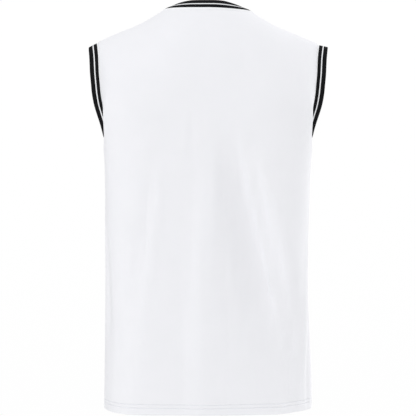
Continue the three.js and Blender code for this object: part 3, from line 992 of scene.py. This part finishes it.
@dataclass
class Band:
    """A striped rib band round an opening, sewn to the panels and folded at the opening's edge.

    Lengths are in millimetres. start and second choose where the ring starts and which way it runs: each
    gives a value for a corner, and the corner with the least is taken.
    """

    node: str
    name: str
    start: Callable
    second: Callable
    breaks: tuple[int, ...]
    closed: bool

    width: float = 18.6
    proud: float = 0.6
    crown: float = 1.1
    seam_gap: float = 0.3
    thickness: float = 1.7
    rib_pitch: float = 1.6
    rib_parts: int = 4
    rib_depth: float = 0.28
    ease: float = 0.25

    OUTER = (0.0, 0.4, 1.0, 2.0, 3.6, 5.4, 7.2, 9.0, 10.8, 12.6, 14.4, 15.8, 16.6)
    INNER = (16.0, 13.0, 9.0, 5.0, 2.0, 0.0)
    ROLL = {0.0: -0.85, 0.4: -0.4, 1.0: -0.1}
    TURN_ANGLES = (0, 30, 60, 90, 120, 150, 180)
    WRAP = 3
    MIDDLE_ROW = 2
    RIB_START = (0.3, 1.6)
    EASE_TURNS = (9, 4)
    EASE_START = (3.0, 14.0)
    SHARP = 70.0

    def build(self, frame: dict) -> None:
        """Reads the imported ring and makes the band.

        Args:
            frame: The loaded frame.
        """
        reader = WallNet(frame["nodes"][self.node])
        net = reader.ring(self.start, self.second)
        reader.free()
        self.piece = self._shape(net)

    def _profile(self) -> list[tuple[float, float]]:
        """Lists the band's section as widths from the seam and offsets from its outer surface."""
        radius = self.thickness / 2
        edge = self.width - radius
        section = [(w, self.ROLL.get(w, 0.0)) for w in self.OUTER if w < edge]
        for angle in self.TURN_ANGLES:
            turn = math.radians(angle)
            section.append((edge + radius * math.sin(turn), -radius + radius * math.cos(turn)))
        section += [(w, -self.thickness) for w in self.INNER if w < edge]
        section.append(section[0])
        return section

    def _shape(self, net: np.ndarray) -> bpy.types.Object:
        """Works out the ring's surface and makes its mesh.

        Args:
            net: The wall's points, from the seam to the opening.

        Returns:
            The band.
        """
        count = net.shape[1] - 1
        wrap = self.WRAP if self.closed else 0
        if wrap:
            net = np.concatenate([net[:, -1 - wrap : -1], net, net[:, 1 : 1 + wrap]], axis=1)
        knots = np.arange(net.shape[1], dtype=float) - wrap
        seam = lengths(net[self.MIDDLE_ROW])
        seam -= seam[wrap]
        self.length = seam[wrap + count]
        ribs = round(self.length / self.rib_pitch)
        along = np.linspace(0, self.length, ribs * self.rib_parts + 1)
        lengthways = curve_weights(knots, np.interp(along, seam, knots), self.breaks)
        widths = np.mean([lengths(net[:, c]) for c in range(net.shape[1])], axis=0)
        widths = self.seam_gap + widths * (self.width - self.proud - self.seam_gap) / widths[-1]
        section = self._profile()
        order, back = np.unique([w for w, _ in section], return_inverse=True)
        surface = np.einsum("ri,ijk,cj->rck", curve_weights(widths, order), net, lengthways, optimize=True)
        normals = surface_normals(surface)
        normals *= self._outwards(normals, net)
        if self.closed:
            normals[:, 0] = normals[:, -1] = unit(normals[:, 0] + normals[:, -1])
        base, normals = surface[back], normals[back]
        width = order[back][:, None]
        offset = np.array([o for _, o in section])[:, None]
        rib = 0.5 - 0.5 * np.cos(along / self.length * ribs * 2 * math.pi)
        rib = rib * smooth(width, *self.RIB_START) * np.where(offset > -self.thickness / 2, 1, -1)
        slow = along / self.length * 2 * math.pi
        wavy = self.ease * np.sin(self.EASE_TURNS[0] * slow + np.sin(self.EASE_TURNS[1] * slow))
        crown = self.crown * np.sin(np.clip(width / self.width, 0, 1) * math.pi)
        lift = offset + crown - self.rib_depth * rib + wavy * smooth(width, *self.EASE_START)
        points = base + normals * lift[..., None]
        points[:, 0] = points[:, -1] = (points[:, -1] + points[:, 0]) / 2
        uv = np.stack([np.broadcast_to(along, lift.shape), np.broadcast_to(self.width - width, lift.shape)], -1)
        piece = grid_object(self.name, points, uv, closed_rows=True)
        finish_mesh(piece, self.SHARP)
        return piece

    def _outwards(self, normals: np.ndarray, net: np.ndarray) -> float:
        """Tells whether directions point out of the jersey.

        Args:
            normals: The directions.
            net: The wall's points.

        Returns:
            1 or -1.
        """
        centre = np.array([0.0, 0.0, -200.0])
        seam = net[0].mean(axis=0)
        guide = np.sum(normals.reshape(-1, 3).mean(axis=0) * (seam - centre))
        return 1.0 if guide > 0 else -1.0

    def dress(self, rib: bpy.types.Material) -> None:
        """Gives the band its finish and says what it is.

        Args:
            rib: The rib's material.
        """
        self.piece.data.materials.append(rib)
        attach(self.piece, BODY)
        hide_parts(self.node)
        log.info("%s: %d faces, %.0f mm round", self.name, len(self.piece.data.polygons), self.length)


@dataclass
class Studio:
    """A white room with soft light from the wearer's left, a pale floor far below, and the camera.

    Lengths are in metres.
    """

    camera_distance: float = 2.6
    camera_height: float = -0.3594
    view_width: float = 0.7609
    sensor: float = 36.0
    base_light: float = 1.0
    side_light: float = -0.22
    corner_light: float = 1.15
    flank_light: float = 0.04
    top_light: float = 0.04
    floor_height: float = -1.45
    floor_radius: float = 3.0
    floor_colour: str = "#f4f4f3"

    def build(self) -> None:
        """Makes the world, the floor and the camera."""
        self._world()
        self._floor()
        self._camera()
        bpy.context.scene.view_settings.view_transform = "Standard"

    def _world(self) -> None:
        """Makes the room's light, which is brightest from the corner behind the wearer's left shoulder."""
        world = bpy.data.worlds.new("white room")
        bpy.context.scene.world = world
        world.use_nodes = True
        tree = world.node_tree
        tree.nodes.clear()
        place = add_node(tree, "ShaderNodeTexCoord")
        part = add_node(tree, "ShaderNodeSeparateXYZ", links={0: place.outputs["Generated"]})
        before = add_node(
            tree,
            "ShaderNodeMapRange",
            {"interpolation_type": "SMOOTHSTEP", "From Min": -0.985, "From Max": -0.9},
            {"Value": part.outputs["Y"]},
        )
        slope = add_node(
            tree,
            "ShaderNodeMath",
            {"operation": "MULTIPLY_ADD", 1: self.corner_light, 2: self.side_light},
            {0: part.outputs["Y"]},
        )
        both = add_node(
            tree,
            "ShaderNodeMath",
            {"operation": "MULTIPLY_ADD", 1: self.flank_light},
            {0: part.outputs["X"], 2: slope.outputs[0]},
        )
        side = add_node(
            tree, "ShaderNodeMath", {"operation": "MULTIPLY"}, {0: part.outputs["X"], 1: both.outputs[0]}
        )
        sided = add_node(
            tree,
            "ShaderNodeMath",
            {"operation": "MULTIPLY_ADD", 2: self.base_light},
            {0: side.outputs[0], 1: before.outputs[0]},
        )
        total = add_node(
            tree,
            "ShaderNodeMath",
            {"operation": "MULTIPLY_ADD", 1: self.top_light},
            {0: part.outputs["Z"], 2: sided.outputs[0]},
        )
        room = add_node(
            tree, "ShaderNodeBackground", {"Color": linear("#ffffff")}, {"Strength": total.outputs[0]}
        )
        add_node(tree, "ShaderNodeOutputWorld", links={"Surface": room.outputs[0]})

    def _floor(self) -> None:
        """Makes the pale floor."""
        bm = bmesh.new()
        bmesh.ops.create_circle(bm, cap_ends=True, segments=96, radius=self.floor_radius)
        bmesh.ops.translate(bm, verts=bm.verts, vec=(0, 0, self.floor_height))
        floor = object_from(bm, "floor")
        material = bpy.data.materials.new("pale_painted_floor")
        material.use_nodes = True
        shader = material.node_tree.nodes["Principled BSDF"]
        shader.inputs["Base Color"].default_value = linear(self.floor_colour)
        shader.inputs["Roughness"].default_value = 0.8
        floor.data.materials.append(material)

    def _camera(self) -> None:
        """Makes the camera, level with the middle of the jersey, behind it."""
        data = bpy.data.cameras.new("camera")
        data.sensor_width = self.sensor
        data.lens = self.sensor * self.camera_distance / self.view_width
        camera = bpy.data.objects.new("camera", data)
        camera.location = (0, self.camera_distance, self.camera_height)
        camera.rotation_euler = (math.pi / 2, 0, math.pi)
        bpy.context.scene.collection.objects.link(camera)
        bpy.context.scene.camera = camera


BACK_CREASES = (
    Crease(
        Side.BACK,
        ((-12, -170), (-40, -260), (-66, -345), (-88, -440), (-112, -530), (-142, -620), (-184, -712)),
        rise=-20.0, plus=150, minus=105, narrow=0.25, grow=0.7, fade=0,
    ),
    Crease(
        Side.BACK,
        ((-54, -205), (-62, -262), (-76, -345), (-100, -440), (-124, -530), (-152, -620)),
        rise=2.4, plus=14, minus=26, narrow=0.7, grow=0.3, fade=0.3,
    ),
    Crease(Side.BACK, ((-97, -310), (-104, -370), (-119, -460)), rise=1.1, plus=9, minus=18, fade=0.5),
    Crease(
        Side.BACK,
        ((80, -245), (93, -381), (119, -509), (137, -656)),
        rise=0.5, plus=9, minus=28, narrow=0.6, grow=0.3, fade=0.3,
    ),
    Crease(
        Side.BACK,
        ((100, -230), (114, -381), (140, -509), (158, -676)),
        rise=-0.8, plus=34, minus=16, grow=0.4,
    ),
    Crease(Side.BACK, ((-6, -200), (-8, -450), (-10, -760)), rise=3.2, plus=58, minus=34, grow=0.3, fade=0),
    Crease(Side.BACK, ((34, -165), (28, -225), (31, -290)), rise=-0.9, plus=16, minus=12, fade=0.5),
    Crease(Side.BACK, ((-62, -72), (-68, -100), (-80, -132)), rise=-0.9, plus=14, minus=18, fade=0.5),
)

FRONT_CREASES = (
    Crease(
        Side.FRONT,
        ((44, -215), (78, -345), (104, -470), (128, -600), (150, -712)),
        rise=-4.0, plus=70, minus=84, narrow=0.3, grow=0.6, fade=0,
    ),
    Crease(
        Side.FRONT,
        ((62, -235), (94, -380), (118, -500), (142, -640)),
        rise=2.4, plus=30, minus=12, grow=0.35, fade=0.35,
    ),
    Crease(
        Side.FRONT,
        ((-66, -250), (-88, -400), (-118, -540), (-140, -670)),
        rise=2.2, plus=12, minus=28, grow=0.35, fade=0.3,
    ),
    Crease(
        Side.FRONT,
        ((-44, -225), (-62, -385), (-88, -520), (-112, -690)),
        rise=-2.5, plus=48, minus=30, narrow=0.4, grow=0.5, fade=0.2,
    ),
    Crease(Side.FRONT, ((10, -300), (4, -500), (0, -760)), rise=2.8, plus=30, minus=48, grow=0.5, fade=0),
)

SIDE_CREASES = (
    Crease(Side.LEFT, ((22, -285), (38, -380), (48, -500), (54, -640)), rise=-4.5, plus=28, minus=24),
    Crease(Side.LEFT, ((-20, -300), (-34, -420), (-46, -560)), rise=-3.2, plus=16, minus=30, fade=0.4),
    Crease(Side.LEFT, ((-40, -380), (-56, -520), (-62, -712)), rise=2.4, plus=14, minus=22, fade=0),
    Crease(Side.RIGHT, ((-22, -285), (-38, -390), (-46, -540)), rise=-4.2, plus=18, minus=32, fade=0.4),
    Crease(Side.RIGHT, ((32, -310), (44, -430), (50, -560), (56, -700)), rise=2.6, plus=24, minus=16),
    Crease(Side.RIGHT, ((24, -400), (31, -540), (34, -712)), rise=-2.8, plus=14, minus=12, fade=0),
)


def make_panels() -> list[Panel]:
    """Gives the two panels, still to be built."""
    return [
        Panel("back_panel", "back_cloth", Side.BACK, (10, 26), BACK_CREASES + SIDE_CREASES, *CUT),
        Panel("front_panel", "front_cloth", Side.FRONT, (7, 29), FRONT_CREASES + SIDE_CREASES, *CUT),
    ]


def make_bands() -> list[Band]:
    """Gives the three bands, still to be built. The neck's starts at the V's point, and the armholes' below."""
    armholes = [
        Band(f"armhole_band_{side}", f"armhole_rib_{side}", lambda v: v.co.z, lambda v: v.co.y, (), True)
        for side in ("left", "right")
    ]
    return [
        Band("neck_band", "neck_rib", lambda v: v.co.z, lambda v: v.co.x, breaks=(11, 27), closed=False),
        *armholes,
    ]


def main() -> None:
    """Builds the jersey piece by piece, and its studio."""
    logging.basicConfig(level=logging.INFO, format="%(message)s")
    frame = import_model()
    knit, rib, thread = KnitFinish().make(), RibFinish().make(), ThreadFinish().make()
    for panel in make_panels():
        panel.build(frame)
        panel.dress(knit, thread)
    for band in make_bands():
        band.build(frame)
        band.dress(rib)
    Studio().build()


if __name__ == "__main__":
    main()
